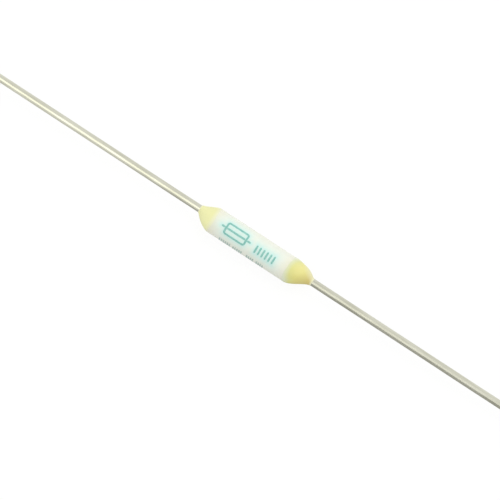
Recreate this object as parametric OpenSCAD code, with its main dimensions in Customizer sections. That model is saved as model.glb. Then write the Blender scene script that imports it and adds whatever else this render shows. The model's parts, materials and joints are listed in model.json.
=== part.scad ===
// Axial thermal fuse: a ceramic tube with a fusible alloy link inside,
// a tinned copper lead at each end, and a resin seal over each end of the tube.

/* [Ceramic tube] */
// Length of the ceramic tube
tube_len = 8; // [7:0.1:12]
// Outside diameter of the tube
tube_d = 2.25; // [2.1:0.05:4]
// Thickness of the tube's wall
tube_wall = 0.4; // [0.3:0.05:0.5]
// Chamfer on the tube's outer rims, where the resin seats
rim_chamfer = 0.2; // [0.1:0.05:0.25]

/* [Leads] */
// Diameter of the lead wire
lead_d = 0.65; // [0.4:0.05:0.7]
// Length of each lead past the tube's end face
lead_reach = 38; // [20:1:60]
// Distance of the leads and link from the tube's axis, towards +Y
lead_offset = 0.15; // [0:0.01:0.16]
// Thickness of the upset head on the lead's inner end
head_t = 0.25; // [0.15:0.05:0.4]
// Clearance between the upset head and the tube's bore
head_gap = 0.11; // [0.05:0.01:0.15]
// Number of ring grooves that key the lead into its seal
groove_count = 4; // [3:1:5]
// Spacing of the ring grooves
groove_pitch = 0.2; // [0.18:0.01:0.24]
// Depth of the ring grooves
groove_depth = 0.05; // [0.02:0.01:0.08]
// Depth of the first ring groove inside the seal's tip
groove_start = 0.3; // [0.2:0.02:0.4]
// Chamfer on the lead's cut end
cut_chamfer = 0.05; // [0.02:0.01:0.1]

/* [Resin seals] */
// Height of the left seal past the tube's end face
seal_left_h = 1.15; // [1.1:0.05:2.5]
// Height of the right seal past the tube's end face
seal_right_h = 1.8; // [1.1:0.05:2.5]
// Depth of the resin plug inside the bore
plug_depth = 1.4; // [0.8:0.1:1.8]
// Share of the rim chamfer that the resin laps over
lap_share = 0.75; // [0.3:0.05:0.9]
// Thickness of the resin where it runs out on the lead
tip_film = 0.03; // [0.02:0.01:0.06]
// Fullness of the dome: higher keeps its width for longer
dome_power = 1.5; // [1.2:0.1:2.2]
// Hollow of the run-out on to the lead: higher is more hollow
tip_power = 1.15; // [1:0.05:1.6]

/* [Fusible element] */
// Diameter of the alloy link
link_d = 0.6; // [0.4:0.05:0.7]
// Length of the weld fillet at each end of the link
weld_len = 0.25; // [0.1:0.05:0.4]
// Air space between a lead's head and the resin plug
air_gap = 0.7; // [0.3:0.05:0.9]
// Clearance between the flux coat's middle and the tube's bore
flux_gap = 0.05; // [0.03:0.01:0.08]

/* [Hidden] */
$fn = 48;
DOME_STEPS = 16;
FLUX_STEPS = 12;

tube_r = tube_d / 2;
bore_r = tube_r - tube_wall;
tube_half = tube_len / 2;
lead_r = lead_d / 2;
lead_end = tube_half + lead_reach;
lap = rim_chamfer * lap_share;
plug_end = tube_half - plug_depth;
head_r = bore_r - lead_offset - head_gap;
link_half = plug_end - air_gap - head_t;
link_r = link_d / 2;
weld_r = (link_r + head_r) / 2;
flux_mid_r = bore_r - lead_offset - flux_gap;

// Radius of a seal at a share of its height, from its wet edge on the rim chamfer to its tip
function seal_r(share) =
    lead_r + tip_film + (tube_r - lead_r - tip_film) * pow(1 - pow(share, dome_power), tip_power);

// Revolves a profile of [x, radius] points about the X axis
module revolve_x(points) {
    rotate([90, 0, 90])
        rotate_extrude()
            polygon([for (p = points) [p[1], p[0]]]);
}

module ceramic_tube() {
    color("#f2f3ec")
        revolve_x([
            [-tube_half, bore_r],
            [tube_half, bore_r],
            [tube_half, tube_r - rim_chamfer],
            [tube_half - rim_chamfer, tube_r],
            [rim_chamfer - tube_half, tube_r],
            [-tube_half, tube_r - rim_chamfer]
        ]);
}

// A lead at the +X end: the upset head, the inner stretch, the ring grooves and the free wire
module lead(seal_h) {
    free_x = tube_half + seal_h - groove_start;
    translate([0, lead_offset, 0])
        revolve_x(concat(
            [
                [link_half, 0],
                [lead_end, 0],
                [lead_end, lead_r - cut_chamfer],
                [lead_end - cut_chamfer, lead_r]
            ],
            [for (i = [0:2 * groove_count])
                [free_x - groove_pitch * i / 2, lead_r - groove_depth * (i % 2)]
            ],
            [
                [link_half + head_t, lead_r],
                [link_half + head_t, head_r],
                [link_half, head_r]
            ]
        ));
}

module lead_left() {
    color("#cfcdc0")
        mirror([1, 0, 0])
            lead(seal_left_h);
}

module lead_right() {
    color("#cfcdc0")
        lead(seal_right_h);
}

module fusible_link() {
    color("#8f959c")
        translate([0, lead_offset, 0])
            revolve_x([
                [-link_half, 0],
                [link_half, 0],
                [link_half, weld_r],
                [link_half - weld_len, link_r],
                [weld_len - link_half, link_r],
                [-link_half, weld_r]
            ]);
}

// A barrel of flux from head to head, hollow where the link runs through it
module flux_coat() {
    color("#c8963c")
        translate([0, lead_offset, 0])
            revolve_x(concat(
                [
                    [-link_half, weld_r],
                    [weld_len - link_half, link_r],
                    [link_half - weld_len, link_r],
                    [link_half, weld_r]
                ],
                [for (i = [FLUX_STEPS:-1:0])
                    let (share = i / FLUX_STEPS)
                    [
                        link_half * (2 * share - 1),
                        head_r + (flux_mid_r - head_r) * sin(180 * share)
                    ]
                ]
            ));
}

// A seal at the +X end: a dome that leans until its tip is centred on the lead, and a plug
// in the bore. The tube's rim, bore and end face give the resin its seat, and the lead its hole.
module seal(seal_h) {
    wet_edge = tube_half - lap;
    dome_h = seal_h + lap;
    lean = lead_offset / dome_h;
    difference() {
        union() {
            multmatrix([
                [1, 0, 0, 0],
                [lean, 1, 0, -lean * wet_edge],
                [0, 0, 1, 0],
                [0, 0, 0, 1]
            ])
                revolve_x(concat(
                    [[wet_edge, 0], [wet_edge + dome_h, 0]],
                    [for (i = [DOME_STEPS:-1:0])
                        let (share = i / DOME_STEPS)
                        [wet_edge + dome_h * share, seal_r(share)]
                    ]
                ));
            translate([plug_end, 0, 0])
                rotate([0, 90, 0])
                    cylinder(r = bore_r + tube_wall / 2, h = plug_depth + lap);
        }
        ceramic_tube();
        lead(seal_h);
    }
}

module seal_left() {
    color("#ece7b4")
        mirror([1, 0, 0])
            seal(seal_left_h);
}

module seal_right() {
    color("#e6e0a4")
        seal(seal_right_h);
}

ceramic_tube();
lead_left();
lead_right();
fusible_link();
flux_coat();
seal_left();
seal_right();
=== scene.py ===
import json
import math

import bmesh
import bpy
import numpy as np
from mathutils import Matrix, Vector, noise


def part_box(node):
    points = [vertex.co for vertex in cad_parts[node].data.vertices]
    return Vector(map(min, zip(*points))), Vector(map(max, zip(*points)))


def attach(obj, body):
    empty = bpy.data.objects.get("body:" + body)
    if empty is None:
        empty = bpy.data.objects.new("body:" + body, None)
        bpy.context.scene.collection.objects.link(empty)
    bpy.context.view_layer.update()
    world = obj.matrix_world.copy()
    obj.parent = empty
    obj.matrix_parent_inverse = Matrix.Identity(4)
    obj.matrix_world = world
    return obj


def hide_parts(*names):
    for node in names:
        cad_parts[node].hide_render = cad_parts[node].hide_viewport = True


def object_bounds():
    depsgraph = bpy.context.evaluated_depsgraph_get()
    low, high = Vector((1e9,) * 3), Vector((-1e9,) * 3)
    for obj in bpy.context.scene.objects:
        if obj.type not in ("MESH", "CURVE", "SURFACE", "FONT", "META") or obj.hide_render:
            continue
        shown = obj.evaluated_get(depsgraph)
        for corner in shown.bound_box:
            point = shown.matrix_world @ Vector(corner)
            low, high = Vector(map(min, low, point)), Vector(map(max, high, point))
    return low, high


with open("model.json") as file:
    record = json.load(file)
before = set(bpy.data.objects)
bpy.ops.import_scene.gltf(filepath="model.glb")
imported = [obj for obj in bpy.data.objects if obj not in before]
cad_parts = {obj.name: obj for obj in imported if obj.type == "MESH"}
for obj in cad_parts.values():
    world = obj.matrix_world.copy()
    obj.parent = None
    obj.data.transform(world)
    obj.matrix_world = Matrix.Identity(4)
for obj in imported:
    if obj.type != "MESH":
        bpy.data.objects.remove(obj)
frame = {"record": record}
cad_low, cad_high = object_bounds()


# The two leads are soft copper wire, drawn round and dipped in tin. A heading die upsets the inner
# end of each into a flat head and rolls the ring grooves that key it into the resin. The outer ends
# are sheared to length, so bare copper shows on the cut.
MM = 0.001
mounts = {mount["name"]: mount for mount in frame["record"]["mounts"]}
LEAD_R = mounts["lead_right"]["dims"]["r_mm"] * MM
LEAD_Y = mounts["lead_right"]["pos_m"][1]
LEAD_SIDES = 48
HEAD_R = (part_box("lead_right")[1].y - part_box("lead_right")[0].y) / 2
HEAD_THICKNESS = 0.25 * MM
HEAD_ROUNDING = 0.05 * MM
GROOVES = 4
GROOVE_PITCH = 0.2 * MM
GROOVE_DEPTH = 0.05 * MM
WIRE_STEP = 0.12 * MM
TIN_RIPPLE = 0.007 * MM
TIN_RIPPLES_PER_MM = Vector((0.45, 1.5, 1.5))
SHEAR_SLANT = 0.05 * MM
SHEAR_ROUNDING = 0.05 * MM
SHEAR_BEVEL = 0.3 * SHEAR_ROUNDING
DIE_LINES_PER_MM = (0.25, 26.0, 26.0)
DIE_LINE_DEPTH = 0.0003 * MM
TIN_PATCHES_PER_MM = (0.35, 2.6, 2.6)
TIN_PATCH_SPAN = (0.38, 0.66)
GRAIN_SPAN = (0.3, 0.7)
TIN_ROUGHNESS = (0.20, 0.30)
TIN_BRIGHT = (0.67, 0.665, 0.56, 1)
TIN_DULL = (0.56, 0.555, 0.45, 1)
COPPER_CUT = (0.72, 0.36, 0.20, 1)
COPPER_FROM = 0.06 * MM
COPPER_FULL = 0.02 * MM


def point_round(x, radius, centre_y, turn):
    """A point round the part's length, turned from +Y towards +Z."""
    return Vector((x, centre_y + radius * math.cos(turn), radius * math.sin(turn)))


def circle(x, radius, centre_y, sides):
    """A ring of evenly spaced points round the part's length."""
    return [point_round(x, radius, centre_y, 2 * math.pi * side / sides) for side in range(sides)]


def outward(point, centre_y):
    """The direction straight out from the part's length at a point."""
    return Vector((0, point.y - centre_y, point.z)).normalized()


def skin(name, bodies, crease=35):
    """Joins each body's rings of points into a closed mesh, capped at its ends or looped round.
    Edges that turn by more than crease degrees are shaded sharp."""
    mesh = bmesh.new()
    for rings, loop in bodies:
        sides = len(rings[0])
        made = [[mesh.verts.new(point) for point in ring] for ring in rings]
        spans = list(zip(made, made[1:]))
        if loop:
            spans.append((made[-1], made[0]))
        for first, second in spans:
            for side in range(sides):
                after = (side + 1) % sides
                mesh.faces.new((first[side], first[after], second[after], second[side]))
        for ring in () if loop else (made[0], made[-1]):
            middle = mesh.verts.new(sum((vertex.co for vertex in ring), Vector()) / sides)
            for side in range(sides):
                mesh.faces.new((ring[side], ring[(side + 1) % sides], middle))
    bmesh.ops.recalc_face_normals(mesh, faces=mesh.faces)
    data = bpy.data.meshes.new(name)
    mesh.to_mesh(data)
    mesh.free()
    data.shade_smooth()
    data.set_sharp_from_angle(angle=math.radians(crease))
    piece = bpy.data.objects.new(name, data)
    bpy.context.scene.collection.objects.link(piece)
    return piece


def feed(tree, made, socket, value):
    """Links an output to a node's input, or sets the input to a plain value."""
    if isinstance(value, bpy.types.NodeSocket):
        tree.links.new(value, made.inputs[socket])
    else:
        made.inputs[socket].default_value = value


def add(tree, kind, settings=None, **inputs):
    """Adds a shader node with its settings, and its inputs by name."""
    made = tree.nodes.new("ShaderNode" + kind)
    for name, value in (settings or {}).items():
        setattr(made, name, value)
    for name, value in inputs.items():
        feed(tree, made, name.replace("_", " "), value)
    return made


def compute(tree, operation, *values):
    """One step of arithmetic on node outputs."""
    made = add(tree, "Math", {"operation": operation})
    for index, value in enumerate(values):
        feed(tree, made, index, value)
    return made.outputs[0]


def times(tree, place, factors):
    """A place with its X, Y and Z each multiplied by a factor."""
    made = add(tree, "VectorMath", {"operation": "MULTIPLY"})
    feed(tree, made, 0, place)
    feed(tree, made, 1, factors)
    return made.outputs[0]


def new_finish(name, **values):
    """A material with one main shader, its plain values set on the shader itself."""
    finish = bpy.data.materials.new(name)
    finish.use_nodes = True
    tree = finish.node_tree
    shader = tree.nodes["Principled BSDF"]
    for socket, value in values.items():
        shader.inputs[socket.replace("_", " ")].default_value = value
    return finish, tree, shader


def millimetres(tree):
    """The part's own coordinates in millimetres, so that grain keeps its true scale."""
    return times(tree, add(tree, "TexCoord").outputs["Object"], (1 / MM, 1 / MM, 1 / MM))


def grain(tree, place, per_mm, detail=3.0, rough=0.55):
    """Noise with so many features in a millimetre along X, Y and Z."""
    stretched = times(tree, place, per_mm)
    made = add(tree, "TexNoise", Vector=stretched, Scale=1.0, Detail=detail, Roughness=rough)
    return made.outputs["Fac"]


def remap(tree, value, span, to=(0.0, 1.0)):
    """Maps a value from a span of its own to another, held at both ends."""
    made = add(tree, "MapRange", From_Min=span[0], From_Max=span[1], To_Min=to[0], To_Max=to[1])
    feed(tree, made, "Value", value)
    return made.outputs["Result"]


def mix_colours(tree, share, first, second):
    """Goes from the first colour to the second as share goes from 0 to 1."""
    made = add(tree, "Mix", {"data_type": "RGBA"})
    # A Mix node takes the share as input 0 and two colours as inputs 6 and 7, and gives output 2.
    for index, value in ((0, share), (6, first), (7, second)):
        feed(tree, made, index, value)
    return made.outputs[2]


def raise_grain(tree, shader, height, depth, strength=1.0):
    """Gives the shader a surface that rises with height, depth metres from low to high."""
    bump = add(tree, "Bump", Height=height, Strength=strength, Distance=depth)
    feed(tree, shader, "Normal", bump.outputs["Normal"])


def lead_profile(inner_x, free_x, end_x):
    """Distance along the wire and radius, from the head's face to the sheared end."""
    head_back = inner_x + HEAD_THICKNESS
    bevel = HEAD_ROUNDING * (1 - math.sqrt(0.5))
    profile = [
        (inner_x, HEAD_R - HEAD_ROUNDING),
        (inner_x + bevel, HEAD_R - bevel),
        (inner_x + HEAD_ROUNDING, HEAD_R),
        (head_back - HEAD_ROUNDING, HEAD_R),
        (head_back - bevel, HEAD_R - bevel),
        (head_back, HEAD_R - HEAD_ROUNDING),
        (head_back, LEAD_R + HEAD_ROUNDING),
        (head_back + bevel, LEAD_R + bevel),
        (head_back + HEAD_ROUNDING, LEAD_R),
    ]
    for half in range(2 * GROOVES, -1, -1):
        profile.append((free_x - GROOVE_PITCH * half / 2, LEAD_R - GROOVE_DEPTH * (half % 2)))
    free_length = end_x - SHEAR_ROUNDING - free_x
    steps = int(free_length / WIRE_STEP)
    for step in range(1, steps + 1):
        profile.append((free_x + free_length * step / steps, LEAD_R))
    profile.append((end_x - SHEAR_BEVEL, LEAD_R - SHEAR_BEVEL))
    profile.append((end_x, LEAD_R - SHEAR_ROUNDING))
    return profile


def make_lead(node, side):
    """One lead, drawn towards +X and turned to its own end of the tube by side."""
    low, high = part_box(node)
    inner_x = min(abs(low.x), abs(high.x))
    end_x = max(abs(low.x), abs(high.x))
    free_x = abs(mounts[node]["pos_m"][0]) - mounts[node]["dims"]["length_mm"] * MM / 2
    rings = []
    for x, radius in lead_profile(inner_x, free_x, end_x):
        ring = circle(x, radius, LEAD_Y, LEAD_SIDES)
        for point in ring:
            out = outward(point, LEAD_Y)
            if x > free_x:
                spot = Vector((side * x, point.y, point.z)) / MM
                point += out * TIN_RIPPLE * noise.noise(spot * TIN_RIPPLES_PER_MM)
            if x > end_x - SHEAR_ROUNDING:
                point.x -= SHEAR_SLANT * (0.5 - 0.5 * out.z)
            point.x *= side
        rings.append(ring)
    return skin(node.replace("lead", "wire"), [(rings, False)])


tin, tree, shader = new_finish("tinned_copper", Metallic=1.0)
place = millimetres(tree)
die_lines = grain(tree, place, DIE_LINES_PER_MM, detail=4.0)
patches = grain(tree, place, TIN_PATCHES_PER_MM, detail=4.0, rough=0.6)
coat = mix_colours(tree, remap(tree, patches, TIN_PATCH_SPAN), TIN_BRIGHT, TIN_DULL)
along = add(tree, "SeparateXYZ", Vector=place).outputs["X"]
cut_span = ((cad_high.x - COPPER_FROM) / MM, (cad_high.x - COPPER_FULL) / MM)
cut = remap(tree, compute(tree, "ABSOLUTE", along), cut_span)
feed(tree, shader, "Base Color", mix_colours(tree, cut, coat, COPPER_CUT))
feed(tree, shader, "Roughness", remap(tree, die_lines, GRAIN_SPAN, TIN_ROUGHNESS))
raise_grain(tree, shader, die_lines, DIE_LINE_DEPTH)

for node, side in (("lead_left", -1), ("lead_right", 1)):
    wire = make_lead(node, side)
    wire.data.materials.append(tin)
    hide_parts(node)
    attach(wire, "root")


# The fusible link is a short rod of low-melting alloy, butt-welded to both heads so that a small
# fillet flares out at each end. It melts at its rated heat and draws back on to the heads.
LINK_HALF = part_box("fusible_link")[1].x
LINK_SIDES = 40
LINK_STEPS = 40
WELD_R = (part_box("fusible_link")[1].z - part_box("fusible_link")[0].z) / 2
WELD_LENGTH = 0.25 * MM
LINK_R = 2 * WELD_R - HEAD_R
CRYSTALS_PER_MM = (3.0, 5.0, 5.0)
CRYSTAL_SPAN = (0.35, 0.65)
ALLOY_ROUGHNESS = (0.25, 0.45)
ALLOY_BRIGHT = (0.56, 0.58, 0.61, 1)
ALLOY_DULL = (0.40, 0.42, 0.45, 1)


def link_radius(x):
    """The rod's radius, with a weld fillet that flares towards each head."""
    into_weld = max(0.0, 1 - (LINK_HALF - abs(x)) / WELD_LENGTH)
    return LINK_R + (WELD_R - LINK_R) * into_weld ** 2


link_rings = []
for step in range(LINK_STEPS + 1):
    x = LINK_HALF * math.sin(math.pi * (step / LINK_STEPS - 0.5))
    link_rings.append(circle(x, link_radius(x), LEAD_Y, LINK_SIDES))
link = skin("alloy_link", [(link_rings, False)])

alloy, tree, shader = new_finish("fusible_alloy", Metallic=1.0)
crystals = grain(tree, millimetres(tree), CRYSTALS_PER_MM, detail=4.0)
tarnish = mix_colours(tree, remap(tree, crystals, CRYSTAL_SPAN), ALLOY_BRIGHT, ALLOY_DULL)
feed(tree, shader, "Base Color", tarnish)
feed(tree, shader, "Roughness", remap(tree, crystals, GRAIN_SPAN, ALLOY_ROUGHNESS))
link.data.materials.append(alloy)
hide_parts("fusible_link")
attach(link, "root")


# The flux is rosin, brushed warm over the link and set hard in an uneven amber barrel. It keeps the
# alloy's skin clean, so that the melted link pulls apart in one quick move.
FLUX_R = (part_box("flux_coat")[1].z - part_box("flux_coat")[0].z) / 2
FLUX_SIDES = 48
FLUX_STEPS = 36
FLUX_UNEVEN = 0.02 * MM
FLUX_DIPS_PER_MM = 1.4
ROSIN_CLOUDS_PER_MM = (1.2, 1.2, 1.2)
ROSIN_CLOUD_SPAN = (0.35, 0.65)
ROSIN_BRUSH_PER_MM = (5.0, 5.0, 5.0)
ROSIN_BRUSH_DEPTH = 0.006 * MM
ROSIN_THIN = (0.72, 0.45, 0.12, 1)
ROSIN_THICK = (0.50, 0.24, 0.04, 1)


def flux_ring(x, radius, uneven):
    """A ring of the coat, thinner here and there, never thicker than its barrel."""
    ring = circle(x, radius, LEAD_Y, FLUX_SIDES)
    for point in ring:
        dip = 0.5 + 0.5 * noise.noise(point / MM * FLUX_DIPS_PER_MM)
        point -= outward(point, LEAD_Y) * uneven * dip
    return ring


coat_x = [LINK_HALF * (2 * step / FLUX_STEPS - 1) for step in range(FLUX_STEPS + 1)]
outside = []
for x in coat_x:
    swell = math.cos(math.pi / 2 * x / LINK_HALF)
    outside.append(flux_ring(x, HEAD_R + (FLUX_R - HEAD_R) * swell, FLUX_UNEVEN * swell))
inside = [circle(x, link_radius(x), LEAD_Y, FLUX_SIDES) for x in reversed(coat_x)]
flux = skin("flux_barrel", [(outside + inside, True)])

rosin, tree, shader = new_finish("rosin_flux", Roughness=0.18, IOR=1.53, Transmission_Weight=0.35)
place = millimetres(tree)
clouds = grain(tree, place, ROSIN_CLOUDS_PER_MM)
amber = mix_colours(tree, remap(tree, clouds, ROSIN_CLOUD_SPAN), ROSIN_THIN, ROSIN_THICK)
feed(tree, shader, "Base Color", amber)
raise_grain(tree, shader, grain(tree, place, ROSIN_BRUSH_PER_MM), ROSIN_BRUSH_DEPTH, strength=0.5)
flux.data.materials.append(rosin)
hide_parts("flux_coat")
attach(flux, "root")


# The tube is white alumina, extruded, cut, tumbled to break its rims and fired without a glaze, so it
# has a fine satin grain and a few specks. Ink and resin creep a little way into its skin.
TUBE_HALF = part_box("ceramic_tube")[1].x
TUBE_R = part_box("ceramic_tube")[1].z
TUBE_SIDES = 160
TUBE_STEP = 0.05 * MM
TUBE_WAVE = 0.0015 * MM
TUBE_WAVES_PER_MM = 0.8
HEAD_CLEARANCE = 0.11 * MM
BORE_R = HEAD_R + LEAD_Y + HEAD_CLEARANCE
RIM_CHAMFER = 0.2 * MM
RIM_ROUNDING = 0.12 * MM
RIM_STEPS = 6
FLAT_END = TUBE_HALF - RIM_CHAMFER - RIM_ROUNDING
# The print is on the side of the tube that the photograph looks at, and the resin creeps furthest there.
VIEW_AZIMUTH = math.radians(33.57)
VIEW_ELEVATION = math.radians(80.0)
FACE_TURN = math.atan2(
    math.sin(VIEW_ELEVATION),
    -math.cos(VIEW_AZIMUTH) * math.cos(VIEW_ELEVATION),
)
WET_BEND = 0.32
WET_TURN = FACE_TURN - math.radians(8)
WET_FACING = (0, math.cos(WET_TURN), math.sin(WET_TURN))
WET_FACING_SPAN = (0.5 * TUBE_R / MM, TUBE_R / MM)
LEFT_TO_RIGHT = (-1.0, 1.0)
STAIN_SPAN = (FLAT_END / MM - 0.75, FLAT_END / MM)
STAIN_MOST = 0.55
CERAMIC_CLOUDS_PER_MM = (0.9, 1.4, 1.4)
CERAMIC_CLOUD_SPAN = (0.36, 0.68)
CERAMIC_GRAIN_PER_MM = (14.0, 20.0, 20.0)
CERAMIC_GRAIN_DEPTH = 0.004 * MM
SPECKS_PER_MM = 1.7
SPECK_SPAN = (0.030, 0.050)
SPECK_MOST = 0.55
CERAMIC_WHITE = (0.885, 0.890, 0.780, 1)
CERAMIC_SHADE = (0.850, 0.857, 0.735, 1)
CERAMIC_SPECK = (0.50, 0.45, 0.36, 1)
RESIN_STAIN = (0.86, 0.82, 0.60, 1)
BLEED_TINT = (0.50, 0.88, 0.84, 1)
HAZE_TINT = (0.54, 0.98, 1.0, 1)


def rim_drop(x):
    """How far the tumbled rim falls below the tube's face at a distance from its middle."""
    past = abs(x) - (TUBE_HALF - RIM_CHAMFER)
    if past < -RIM_ROUNDING:
        return 0.0
    if past > RIM_ROUNDING:
        return past
    return (past + RIM_ROUNDING) ** 2 / (4 * RIM_ROUNDING)


rim_x = [FLAT_END + 2 * RIM_ROUNDING * step / RIM_STEPS for step in range(1, RIM_STEPS + 1)]
rim_x.append(TUBE_HALF)
flat_steps = round(2 * FLAT_END / TUBE_STEP)
face_x = [-x for x in reversed(rim_x)]
face_x += [FLAT_END * (2 * step / flat_steps - 1) for step in range(flat_steps + 1)]
face_x += rim_x
tube_profile = [(x, TUBE_R - rim_drop(x)) for x in face_x]
tube_profile += [(TUBE_HALF, BORE_R), (0.0, BORE_R), (-TUBE_HALF, BORE_R)]
tube_rings = []
for x, radius in tube_profile:
    ring = circle(x, radius, 0.0, TUBE_SIDES)
    for point in ring:
        point += outward(point, 0.0) * TUBE_WAVE * noise.noise(point / MM * TUBE_WAVES_PER_MM)
    tube_rings.append(ring)
tube = skin("alumina_tube", [(tube_rings, True)])


def towards(tree, place, direction):
    """How far a place lies in a direction."""
    made = add(tree, "VectorMath", {"operation": "DOT_PRODUCT"})
    feed(tree, made, 0, place)
    feed(tree, made, 1, direction)
    return made.outputs["Value"]


def along_wet_edge(tree, place):
    """Distance from the tube's middle in millimetres, bent back at the sides of the right end."""
    along = add(tree, "SeparateXYZ", Vector=place).outputs["X"]
    bend = remap(tree, towards(tree, place, WET_FACING), WET_FACING_SPAN, (-WET_BEND, 0.0))
    on_right = remap(tree, along, LEFT_TO_RIGHT)
    return compute(tree, "MULTIPLY_ADD", bend, on_right, compute(tree, "ABSOLUTE", along))


ceramic, tree, shader = new_finish(
    "fired_alumina",
    Roughness=0.42,
    IOR=1.6,
    Subsurface_Weight=0.12,
    Subsurface_Radius=(0.30 * MM, 0.30 * MM, 0.26 * MM),
    Subsurface_Scale=1.0,
)
place = millimetres(tree)
clouds = grain(tree, place, CERAMIC_CLOUDS_PER_MM, detail=4.0)
body = mix_colours(tree, remap(tree, clouds, CERAMIC_CLOUD_SPAN), CERAMIC_WHITE, CERAMIC_SHADE)
cells = add(tree, "TexVoronoi", {"feature": "F1"}, Vector=place, Scale=SPECKS_PER_MM, Randomness=1.0)
speck = remap(tree, cells.outputs["Distance"], SPECK_SPAN, (SPECK_MOST, 0.0))
body = mix_colours(tree, speck, body, CERAMIC_SPECK)
near_resin = remap(tree, along_wet_edge(tree, place), STAIN_SPAN, (0.0, STAIN_MOST))
body = mix_colours(tree, near_resin, body, RESIN_STAIN)
for attribute, tint in (("ink_haze", HAZE_TINT), ("ink_bleed", BLEED_TINT)):
    crept = add(tree, "Attribute", {"attribute_name": attribute}).outputs["Fac"]
    body = mix_colours(tree, crept, body, tint)
feed(tree, shader, "Base Color", body)
fine = grain(tree, place, CERAMIC_GRAIN_PER_MM, detail=5.0, rough=0.65)
raise_grain(tree, shader, fine, CERAMIC_GRAIN_DEPTH, strength=0.6)
tube.data.materials.append(ceramic)
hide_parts("ceramic_tube")
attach(tube, "root")


# Each end is closed with a drop of pale yellow epoxy resin, dispensed round the lead and cured. It runs
# into the bore as a plug, domes over the rim, creeps back over the tube in a thin uneven film and runs
# out along the lead in a small hollow collar.
SEAL_SIDES = 128
DOME_STEPS = 48
SEAL_CREASE = 50
# Fullness and hollow shape the dome, and on_rim is how closely its foot follows the tube's rim. Lean and
# swing carry it over to the lead, which is off the tube's axis. Run is how far it goes along the lead.
SEAL_SHAPES = {
    "seal_left": {
        "side": -1,
        "fullness": 1.1,
        "hollow": 0.8,
        "on_rim": 0.7,
        "lean": 4.0,
        "swing": 0.0,
        "run": 0.07 * MM,
    },
    "seal_right": {
        "side": 1,
        "fullness": 1.4,
        "hollow": 0.87,
        "on_rim": 0.0,
        "lean": 1.3,
        "swing": 1.4,
        "run": 0.17 * MM,
    },
}
RIM_LAP = 0.15 * MM
DOME_START = TUBE_HALF - RIM_LAP
DOME_SAG = 0.014 * MM
DOME_SAGS_PER_MM = 0.9
DOME_SAG_SEED = 7.0
TIP_FILM = 0.012 * MM
TIP_WANDER = 0.05 * MM
TIP_CLEAR = 4 * TIP_WANDER
TIP_WAVES = 1.3
TIP_SEED = 2.9
COLLAR_RISE = 0.035 * MM
COLLAR_SPREAD = 0.08 * MM
COLLAR_FADE = 0.10
WET_FILM = 0.012 * MM
WET_EDGE = 0.004 * MM
WET_TAPER = 0.25 * MM
FACE_CREEP = 0.24 * MM
FACE_CREEP_POWER = 1.5
SIDE_CREEP = 0.06 * MM
LEAST_CREEP = 0.01 * MM
CREEP_WANDER = 0.08 * MM
CREEP_WAVES = 1.7
CREEP_SEED = 5.3
SUNK = 0.003 * MM
IN_TIN = LEAD_R - TIN_RIPPLE - SUNK
END_MM = TUBE_HALF / MM
FILM_SPAN = (END_MM - 0.56, END_MM - 0.05)
EDGE_SHADE_SPAN = (END_MM - 0.35, END_MM + 0.35)
PAINTED_LIGHT_FRONT_TO_BACK = (-0.6, 0.6)
# The right dome is deeper amber low by its tip, thicker resin plus painted shade; above, a painted sheen.
AMBER_AND_SHADE_SLANT = (1.0, -0.35, 0.0)
AMBER_AND_SHADE_SPAN = (END_MM + 0.75, END_MM + 1.90)
AMBER_AND_SHADE_MOST = 0.75
# A painted sheen: the right dome's upper flank by its tip turns a paler cream.
PAINTED_SHEEN_SLANT = (1.0, 1.2, 0.5)
PAINTED_SHEEN_SPAN = (END_MM + 1.80, END_MM + 2.35)
PAINTED_SHEEN_MOST = 0.60
RESIN_CLOUDS_PER_MM = (0.8, 1.1, 1.1)
RESIN_CLOUD_SPAN = (0.40, 0.75)
RESIN_CLOUD_MOST = 0.25
RESIN_PEEL_PER_MM = (4.0, 4.0, 4.0)
RESIN_PEEL_DEPTH = 0.008 * MM
RESIN_ROUGHNESS = (0.34, 0.48)
# The right dome is a deeper gold on its front side, in part painted shade.
RESIN_DEEP_PAINTED_SHADE = (0.81, 0.75, 0.245, 1)
RESIN_BODY = (0.855, 0.79, 0.288, 1)
# Painted shade: a darker, greener band round the foot of the right dome.
RESIN_EDGE_PAINTED_SHADE = (0.72, 0.74, 0.285, 1)
# The left dome's pale resin has painted light on its front side and painted shade at its back.
RESIN_PALE_PAINTED_LIGHT = (0.935, 0.93, 0.485, 1)
RESIN_PALE_PAINTED_SHADE = (0.845, 0.835, 0.42, 1)
RESIN_FILM_LEFT = (0.86, 0.87, 0.70, 1)
# Painted shade: the resin film on the tube is darker and greener at the right end.
RESIN_FILM_RIGHT_PAINTED_SHADE = (0.79, 0.825, 0.63, 1)
# Deeper amber by the right tip, for thicker resin there and for painted shade on its lower side.
RESIN_AMBER_AND_SHADE = (0.62, 0.47, 0.15, 1)
# Pale cream for the resin's tips, and for the painted sheen on the right dome's upper flank.
RESIN_CREAM_TIPS_AND_SHEEN = (0.86, 0.85, 0.58, 1)


def wander(turn, waves, seed):
    """Noise that runs round the tube and meets itself again."""
    return noise.noise(Vector((math.cos(turn) * waves, math.sin(turn) * waves, seed)))


def wet_line(turn, side):
    """Where the resin film ends on the tube, as a distance from the tube's middle."""
    facing = 0.5 + 0.5 * math.cos(turn - FACE_TURN)
    creep = SIDE_CREEP + FACE_CREEP * facing ** FACE_CREEP_POWER
    creep += CREEP_WANDER * wander(turn, CREEP_WAVES, side * CREEP_SEED)
    return DOME_START - max(creep, LEAST_CREEP)


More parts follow.
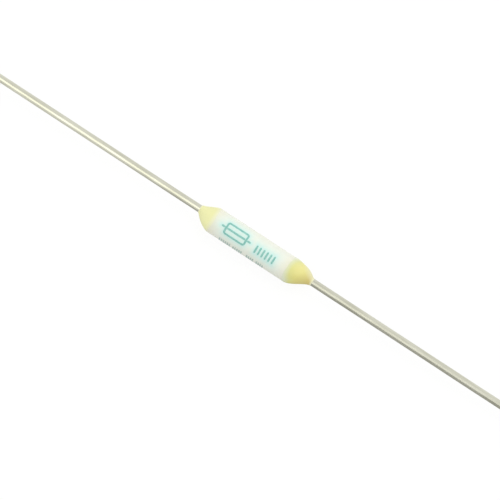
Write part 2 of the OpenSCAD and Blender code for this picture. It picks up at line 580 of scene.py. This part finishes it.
def resin_point(shape, turn, edge, tip, share):
    """A point on the resin's skin, from its wet edge on the tube to its tip on the lead."""
    x = edge + (tip + shape["run"] - edge) * share
    up_dome = min(max((x - DOME_START) / (tip - DOME_START), 0.0), 1.0)
    mid_dome = math.sin(math.pi * up_dome)
    film = WET_FILM - (WET_FILM - WET_EDGE) * max(0.0, 1 - (x - edge) / WET_TAPER) ** 2
    foot = TUBE_R - shape["on_rim"] * rim_drop(min(x, DOME_START)) + film
    end = LEAD_R + TIP_FILM
    radius = end + (foot - end) * (1 - up_dome ** shape["fullness"]) ** shape["hollow"]
    radius += COLLAR_RISE * math.exp(-((x - tip) / COLLAR_SPREAD) ** 2)
    spot = point_round(x, radius, 0.0, turn) / MM * DOME_SAGS_PER_MM
    sag = noise.noise(spot + Vector((shape["side"] * DOME_SAG_SEED, 0, 0)))
    radius += DOME_SAG * sag * mid_dome ** 2
    lean = up_dome ** shape["lean"] + shape["swing"] * up_dome ** 2 * mid_dome
    return point_round(shape["side"] * x, radius, LEAD_Y * lean, turn)


def make_seal(node):
    """One seal, drawn towards +X and turned to its own end of the tube."""
    shape = SEAL_SHAPES[node]
    side = shape["side"]
    low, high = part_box(node)
    tip = max(abs(low.x), abs(high.x))
    plug_end = min(abs(low.x), abs(high.x))
    turns = [2 * math.pi * step / SEAL_SIDES for step in range(SEAL_SIDES)]
    edges = [wet_line(turn, side) for turn in turns]
    tips = [tip + (wander(turn, TIP_WAVES, side * TIP_SEED) - 1) * TIP_WANDER for turn in turns]
    rings = []
    for step in range(DOME_STEPS + 1):
        share = 0.5 - 0.5 * math.cos(math.pi * step / DOME_STEPS)
        rings.append([resin_point(shape, *spot, share) for spot in zip(turns, edges, tips)])
    rings.append([
        point_round(side * (end + shape["run"]), IN_TIN, LEAD_Y, turn)
        for turn, end in zip(turns, tips)
    ])
    for x, radius, centre_y in (
        (tip - TIP_CLEAR, IN_TIN, LEAD_Y),
        (plug_end, IN_TIN, LEAD_Y),
        (plug_end, BORE_R - SUNK, 0.0),
        (TUBE_HALF, BORE_R - SUNK, 0.0),
        (TUBE_HALF, TUBE_R - RIM_CHAMFER, 0.0),
        (DOME_START, TUBE_R - rim_drop(DOME_START) - SUNK, 0.0),
    ):
        rings.append(circle(side * x, radius, centre_y, SEAL_SIDES))
    rings.append([
        point_round(side * edge, TUBE_R - rim_drop(edge) - SUNK, 0.0, turn)
        for turn, edge in zip(turns, edges)
    ])
    return skin(node.replace("seal", "resin"), [(rings, True)], SEAL_CREASE)


resin, tree, shader = new_finish("cured_resin", IOR=1.52)
place = millimetres(tree)
along = add(tree, "SeparateXYZ", Vector=place).outputs["X"]
across = add(tree, "SeparateXYZ", Vector=place).outputs["Y"]
wet = along_wet_edge(tree, place)
clouds = grain(tree, place, RESIN_CLOUDS_PER_MM)
painted_light_to_back = remap(tree, across, PAINTED_LIGHT_FRONT_TO_BACK)
to_left = remap(tree, along, LEFT_TO_RIGHT, (1.0, 0.0))
# Painted shade, in part: the right dome is a deeper gold on its front side.
body = mix_colours(tree, painted_light_to_back, RESIN_DEEP_PAINTED_SHADE, RESIN_BODY)
# Painted shade: a darker, greener band round the foot of the right dome.
body = mix_colours(tree, remap(tree, wet, EDGE_SHADE_SPAN, (1.0, 0.0)), body, RESIN_EDGE_PAINTED_SHADE)
# Painted light and shade: the left dome's pale resin is lighter on its front side and darker at its back.
pale = mix_colours(tree, painted_light_to_back, RESIN_PALE_PAINTED_LIGHT, RESIN_PALE_PAINTED_SHADE)
body = mix_colours(tree, to_left, body, pale)
body = mix_colours(tree, remap(tree, clouds, RESIN_CLOUD_SPAN, (0.0, RESIN_CLOUD_MOST)), body, pale)
# By the right tip: deeper amber, from thicker resin plus painted shade low down, and a painted sheen
# above.
for slant, span, most, tint in (
    (AMBER_AND_SHADE_SLANT, AMBER_AND_SHADE_SPAN, AMBER_AND_SHADE_MOST, RESIN_AMBER_AND_SHADE),
    (PAINTED_SHEEN_SLANT, PAINTED_SHEEN_SPAN, PAINTED_SHEEN_MOST, RESIN_CREAM_TIPS_AND_SHEEN),
):
    share = remap(tree, towards(tree, place, slant), span, (0.0, most))
    body = mix_colours(tree, share, body, tint)
collars = []
for node, shape in SEAL_SHAPES.items():
    tip = shape["side"] * max(abs(corner.x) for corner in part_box(node)) / MM
    fade = shape["side"] * COLLAR_FADE
    collars.append(remap(tree, along, (tip - fade, tip + fade)))
body = mix_colours(tree, compute(tree, "MAXIMUM", *collars), body, RESIN_CREAM_TIPS_AND_SHEEN)
# Painted shade: the resin film on the tube is darker and greener at the right end.
film = mix_colours(tree, to_left, RESIN_FILM_RIGHT_PAINTED_SHADE, RESIN_FILM_LEFT)
body = mix_colours(tree, remap(tree, wet, FILM_SPAN, (1.0, 0.0)), body, film)
feed(tree, shader, "Base Color", body)
peel = grain(tree, place, RESIN_PEEL_PER_MM, detail=4.0)
feed(tree, shader, "Roughness", remap(tree, peel, GRAIN_SPAN, RESIN_ROUGHNESS))
raise_grain(tree, shader, peel, RESIN_PEEL_DEPTH, strength=0.5)

for node in SEAL_SHAPES:
    seal = make_seal(node)
    seal.data.materials.append(resin)
    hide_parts(node)
    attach(seal, "root")


# The printed marks are teal ink, stamped by a soft pad that wraps part of the way round the tube. They
# are plain: the outline sign for a fuse, a few tally bars, and a row of bars lower down the side. Their
# places and sizes are in millimetres, along the tube and up the print.
INK_WIDTH = 0.17
INK_HEIGHT = 0.010 * MM
INK_SUNK = 0.004 * MM
INK_SHOULDER = 0.86
INK_SHOULDER_HEIGHT = 0.75 * INK_HEIGHT
INK_RIDGE = (
    (1, -INK_SUNK),
    (INK_SHOULDER, INK_SHOULDER_HEIGHT),
    (0, INK_HEIGHT),
    (-INK_SHOULDER, INK_SHOULDER_HEIGHT),
    (-1, -INK_SUNK),
)
INK_STEP = 0.05
INK_CREASE = 60
INK_RAGGED = 0.012
INK_RAGS_PER_MM = 9
INK_RIDGE_SEED = 3
INK_LEAST_END = 0.12
SIGN_MIDDLE = (-1.42, 0.04)
SIGN_BOX = (1.95, 0.98)
SIGN_CORNER = 0.16
SIGN_CORNER_STEPS = 6
SIGN_TAILS = 0.44
TALLY_FROM = 0.62
TALLY_PITCH = 0.34
TALLY_COUNT = 6
TALLY_LOW = -0.48
TALLY_HIGH = 0.22
LOT_WIDTH = 0.13
LOT_LOW = -1.80
LOT_HIGH = -1.10
LOT_FROM = -2.44
LOT_PITCH = 0.19
LOT_SKIPS = (6, 12, 13, 18)
LOT_COUNT = 23
EDGE_REACH = 0.14
EDGE_STRENGTH = 0.25
WASH_REACH = 0.30
WASH_STRENGTH = 0.40
HAZE_REACH = 0.70
HAZE_STRENGTH = 0.22
REACH_BATCHES = 40
INK_COVER_PER_MM = (6.0, 6.0, 6.0)
INK_COVER_SPAN = (0.42, 0.72)
INK_GRAIN_PER_MM = (24.0, 24.0, 24.0)
INK_GRAIN_DEPTH = 0.003 * MM
TEAL = (0.22, 0.53, 0.47, 1)
TEAL_THIN = (0.38, 0.68, 0.60, 1)
FAINT = (0.42, 0.55, 0.50, 1)
FAINT_THIN = (0.56, 0.68, 0.62, 1)


def on_tube(along, up, height):
    """A point on the tube's face, by its place on the print and its height above the face."""
    return point_round(along * MM, TUBE_R + height, 0.0, FACE_TURN - up * MM / TUBE_R)


def straight(first, last):
    """Evenly spaced points from one place on the print to another."""
    first = Vector(first)
    last = Vector(last)
    steps = max(2, round((last - first).length / INK_STEP))
    return [first.lerp(last, step / steps) for step in range(steps + 1)]


def rounded_box(middle, size, corner):
    """Points round a box with round corners."""
    points = []
    for quarter in range(4):
        reach_x = (size[0] / 2 - corner) * (1 if quarter in (0, 3) else -1)
        reach_y = (size[1] / 2 - corner) * (1 if quarter in (0, 1) else -1)
        for step in range(SIGN_CORNER_STEPS + 1):
            turn = math.pi / 2 * (quarter + step / SIGN_CORNER_STEPS)
            points.append(Vector((
                middle[0] + reach_x + corner * math.cos(turn),
                middle[1] + reach_y + corner * math.sin(turn),
            )))
    outline = []
    for first, last in zip(points, points[1:] + points[:1]):
        outline.extend(straight(first, last)[:-1])
    return outline


def ink_stroke(path, loop, width):
    """Rings of points across a stroke of ink, a low ridge with slightly ragged edges and round ends."""
    rings = []
    count = len(path)
    length = sum((b - a).length for a, b in zip(path, path[1:]))
    walked = 0.0
    for index, spot in enumerate(path):
        before = path[index - 1] if index or loop else spot
        after = path[(index + 1) % count] if index < count - 1 or loop else spot
        if index:
            walked += (spot - path[index - 1]).length
        ahead = (after - before).normalized()
        across = Vector((-ahead.y, ahead.x))
        half = width / 2
        if not loop:
            into_end = max(0.0, 1 - min(walked, length - walked) / half)
            half *= math.sqrt(max(INK_LEAST_END, 1 - into_end ** 2))
        ridge = []
        for share, height in INK_RIDGE:
            rag_spot = Vector((*spot * INK_RAGS_PER_MM, share * INK_RIDGE_SEED))
            at = spot + across * share * (half + INK_RAGGED * noise.noise(rag_spot))
            ridge.append(on_tube(at.x, at.y, height))
        rings.append(ridge)
    return rings


sign_left = SIGN_MIDDLE[0] - SIGN_BOX[0] / 2
sign_right = SIGN_MIDDLE[0] + SIGN_BOX[0] / 2
sign = [(rounded_box(SIGN_MIDDLE, SIGN_BOX, SIGN_CORNER), True)]
for first, last in (
    (sign_left - SIGN_TAILS, sign_left - INK_WIDTH / 2),
    (sign_left + INK_WIDTH / 2, sign_right - INK_WIDTH / 2),
    (sign_right + INK_WIDTH / 2, sign_right + SIGN_TAILS),
):
    sign.append((straight((first, SIGN_MIDDLE[1]), (last, SIGN_MIDDLE[1])), False))
tally = []
for index in range(TALLY_COUNT):
    x = TALLY_FROM + TALLY_PITCH * index
    tally.append((straight((x, TALLY_LOW), (x, TALLY_HIGH)), False))
lot_row = []
for index in range(LOT_COUNT):
    if index not in LOT_SKIPS:
        x = LOT_FROM + LOT_PITCH * index
        lot_row.append((straight((x, LOT_LOW), (x, LOT_HIGH)), False))


def make_ink(name, full, thin):
    """A finish for dried ink, thin here and there so that the tube shows through."""
    ink, tree, shader = new_finish(name, Roughness=0.55, IOR=1.45)
    place = millimetres(tree)
    cover = grain(tree, place, INK_COVER_PER_MM, detail=4.0, rough=0.65)
    feed(tree, shader, "Base Color", mix_colours(tree, remap(tree, cover, INK_COVER_SPAN), full, thin))
    raise_grain(tree, shader, grain(tree, place, INK_GRAIN_PER_MM), INK_GRAIN_DEPTH, strength=0.5)
    return ink


teal_ink = make_ink("teal_ink", TEAL, TEAL_THIN)
faint_ink = make_ink("faint_ink", FAINT, FAINT_THIN)
for name, strokes, width, ink in (
    ("ink_sign", sign, INK_WIDTH, teal_ink),
    ("ink_tally", tally, INK_WIDTH, teal_ink),
    ("ink_lot_row", lot_row, LOT_WIDTH, faint_ink),
):
    ridges = [(ink_stroke(path, loop, width), loop) for path, loop in strokes]
    mark = skin(name, ridges, INK_CREASE)
    mark.data.materials.append(ink)
    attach(mark, "root")

inked = [on_tube(spot.x, spot.y, 0.0) for path, _ in sign + tally for spot in path]
inked = np.array(inked) / MM
skin_points = np.array([vertex.co for vertex in tube.data.vertices]) / MM
reach = np.concatenate([
    np.linalg.norm(batch[:, None, :] - inked[None, :, :], axis=2).min(axis=1)
    for batch in np.array_split(skin_points, REACH_BATCHES)
])
edge = EDGE_STRENGTH * np.exp(-((reach / EDGE_REACH) ** 2))
wash = WASH_STRENGTH * np.exp(-((reach / WASH_REACH) ** 2))
haze = HAZE_STRENGTH * np.exp(-((reach / HAZE_REACH) ** 2))
for attribute, stain in (("ink_bleed", edge + wash), ("ink_haze", haze)):
    stained = tube.data.attributes.new(attribute, "FLOAT", "POINT")
    stained.data.foreach_set("value", stain.astype(np.float32))


# The part lies on a plain white sheet. It shows white to the eye and in the part's shine, keeps a soft
# shadow under the part, and sends a little cool light back up to it.
FLOOR_HALF = 3.0
FLOOR_Z = cad_low.z - 2 * INK_HEIGHT
FLOOR_GLOW = 0.88
FLOOR_SHADOW = (0.14, 0.14, 0.14, 1)
FLOOR_BOUNCE = (0.79, 0.80, 0.84, 1)


def seen_directly(tree):
    """1 for rays that show a thing to the eye, straight or in metal or glass, and 0 for the rest."""
    ray = add(tree, "LightPath").outputs
    in_shine = compute(tree, "MAXIMUM", ray["Is Glossy Ray"], ray["Is Transmission Ray"])
    return compute(tree, "MAXIMUM", ray["Is Camera Ray"], in_shine)


sheet = bpy.data.materials.new("white_sheet")
sheet.use_nodes = True
tree = sheet.node_tree
tree.nodes.clear()
glow = add(tree, "Emission", Color=(1, 1, 1, 1), Strength=FLOOR_GLOW)
shade = add(tree, "BsdfDiffuse", Color=FLOOR_SHADOW)
shown = add(tree, "AddShader")
feed(tree, shown, 0, glow.outputs[0])
feed(tree, shown, 1, shade.outputs[0])
bounce = add(tree, "BsdfDiffuse", Color=FLOOR_BOUNCE)
choose = add(tree, "MixShader", Fac=seen_directly(tree))
feed(tree, choose, 1, bounce.outputs[0])
feed(tree, choose, 2, shown.outputs[0])
add(tree, "OutputMaterial", Surface=choose.outputs[0])

floor_data = bpy.data.meshes.new("floor")
corners = [(-1, -1), (1, -1), (1, 1), (-1, 1)]
floor_data.from_pydata([(x * FLOOR_HALF, y * FLOOR_HALF, FLOOR_Z) for x, y in corners], [], [(0, 1, 2, 3)])
floor_data.materials.append(sheet)
floor = bpy.data.objects.new("floor", floor_data)
bpy.context.scene.collection.objects.link(floor)


# Soft studio light: a white room, a large soft lamp high behind the part, a strip lamp over its left
# end for the lead's bright line, and grey card at the front that draws the leads' lower edges.
ROOM_LIGHT = 0.77
KEY_PLACE = (0.05, 0.75, 0.66)
KEY_SIZE = 1.0
KEY_WATTS = 3.1
STRIP_PLACE = (-0.070, -0.098, 0.229)
STRIP_AIM = (STRIP_PLACE[0], 0, 0)
STRIP_WIDTH = 0.102
STRIP_LENGTH = 0.24
STRIP_WATTS = 0.072
STRIP_TINT = (1.0, 1.0, 0.86)
CARD_GREY = (0.52, 0.52, 0.51, 1)
CARD_PALE = (0.86, 0.86, 0.85, 1)
CARD_FADE = (-0.016, -0.004)
CARD_HALF = 0.5
CARD_NEAR = -0.0004
CARD_Y = -0.10
CARD_Z = FLOOR_Z + 0.05 * MM
CARD_LOW = 0.002
CARD_HIGH = 0.105
CARD_STEP = (-0.014, 0.0)

world = bpy.data.worlds.new("white_room")
bpy.context.scene.world = world
world.use_nodes = True
tree = world.node_tree
background = tree.nodes["Background"]
background.inputs["Color"].default_value = (1, 1, 1, 1)
feed(tree, background, "Strength", remap(tree, seen_directly(tree), (0.0, 1.0), (ROOM_LIGHT, 1.0)))


def soft_lamp(name, place, aim, width, depth, watts, tint, in_shine):
    """A rectangular lamp that isn't seen itself, and may show in the part's shine."""
    data = bpy.data.lights.new(name, "AREA")
    data.shape = "RECTANGLE"
    data.size = width
    data.size_y = depth
    data.energy = watts
    data.color = tint
    lamp = bpy.data.objects.new(name, data)
    lamp.location = place
    lamp.rotation_euler = (Vector(aim) - Vector(place)).to_track_quat("-Z", "Y").to_euler()
    lamp.visible_camera = False
    lamp.visible_glossy = in_shine
    bpy.context.scene.collection.objects.link(lamp)


soft_lamp("key", KEY_PLACE, (0, 0, 0), KEY_SIZE, KEY_SIZE, KEY_WATTS, (1, 1, 1), False)
soft_lamp("strip", STRIP_PLACE, STRIP_AIM, STRIP_WIDTH, STRIP_LENGTH, STRIP_WATTS, STRIP_TINT, True)

grey_card, tree, shader = new_finish("grey_card", Roughness=1.0, Specular_IOR_Level=0.0)
card_place = add(tree, "TexCoord").outputs["Object"]
along = add(tree, "SeparateXYZ", Vector=card_place).outputs["X"]
feed(tree, shader, "Base Color", mix_colours(tree, remap(tree, along, CARD_FADE), CARD_PALE, CARD_GREY))

card_data = bpy.data.meshes.new("front_card")
card_data.from_pydata(
    [
        (-CARD_HALF, CARD_NEAR, CARD_Z),
        (CARD_HALF, CARD_NEAR, CARD_Z),
        (CARD_HALF, CARD_Y, CARD_Z),
        (-CARD_HALF, CARD_Y, CARD_Z),
        (CARD_HALF, CARD_Y, CARD_HIGH),
        (CARD_STEP[1], CARD_Y, CARD_HIGH),
        (CARD_STEP[0], CARD_Y, CARD_LOW),
        (-CARD_HALF, CARD_Y, CARD_LOW),
    ],
    [],
    [(0, 1, 2, 3), (3, 2, 4, 5, 6, 7)],
)
card_data.materials.append(grey_card)
card = bpy.data.objects.new("front_card", card_data)
bpy.context.scene.collection.objects.link(card)
card.visible_camera = False
card.visible_diffuse = False
card.visible_shadow = False
card.visible_transmission = False


# The camera stands well back over the part with a long lens. It looks almost straight down, turned so
# that the leads run from the upper left of the picture to the lower right.
PIXELS = 500
PIXELS_PER_MM = 12.15
MIDDLE_PIXEL = (251.55, 244.57)
VIEW_DISTANCE = 0.40
SENSOR_MM = 36.0

back = Vector((
    math.sin(VIEW_AZIMUTH) * math.cos(VIEW_ELEVATION),
    -math.cos(VIEW_AZIMUTH) * math.cos(VIEW_ELEVATION),
    math.sin(VIEW_ELEVATION),
))
right = Vector((math.cos(VIEW_AZIMUTH), math.sin(VIEW_AZIMUTH), 0))
up = back.cross(right)
view_width = PIXELS / PIXELS_PER_MM * MM
aim = right * ((PIXELS / 2 - MIDDLE_PIXEL[0]) / PIXELS_PER_MM * MM)
aim += up * ((MIDDLE_PIXEL[1] - PIXELS / 2) / PIXELS_PER_MM * MM)
lens = bpy.data.cameras.new("camera")
lens.sensor_width = SENSOR_MM
lens.lens = SENSOR_MM * VIEW_DISTANCE / view_width
lens.clip_start = 0.01
lens.clip_end = 20.0
camera = bpy.data.objects.new("camera", lens)
camera.location = aim + back * VIEW_DISTANCE
camera.rotation_euler = (-back).to_track_quat("-Z", "Y").to_euler()
bpy.context.scene.collection.objects.link(camera)
bpy.context.scene.camera = camera
bpy.context.scene.view_settings.view_transform = "Standard"
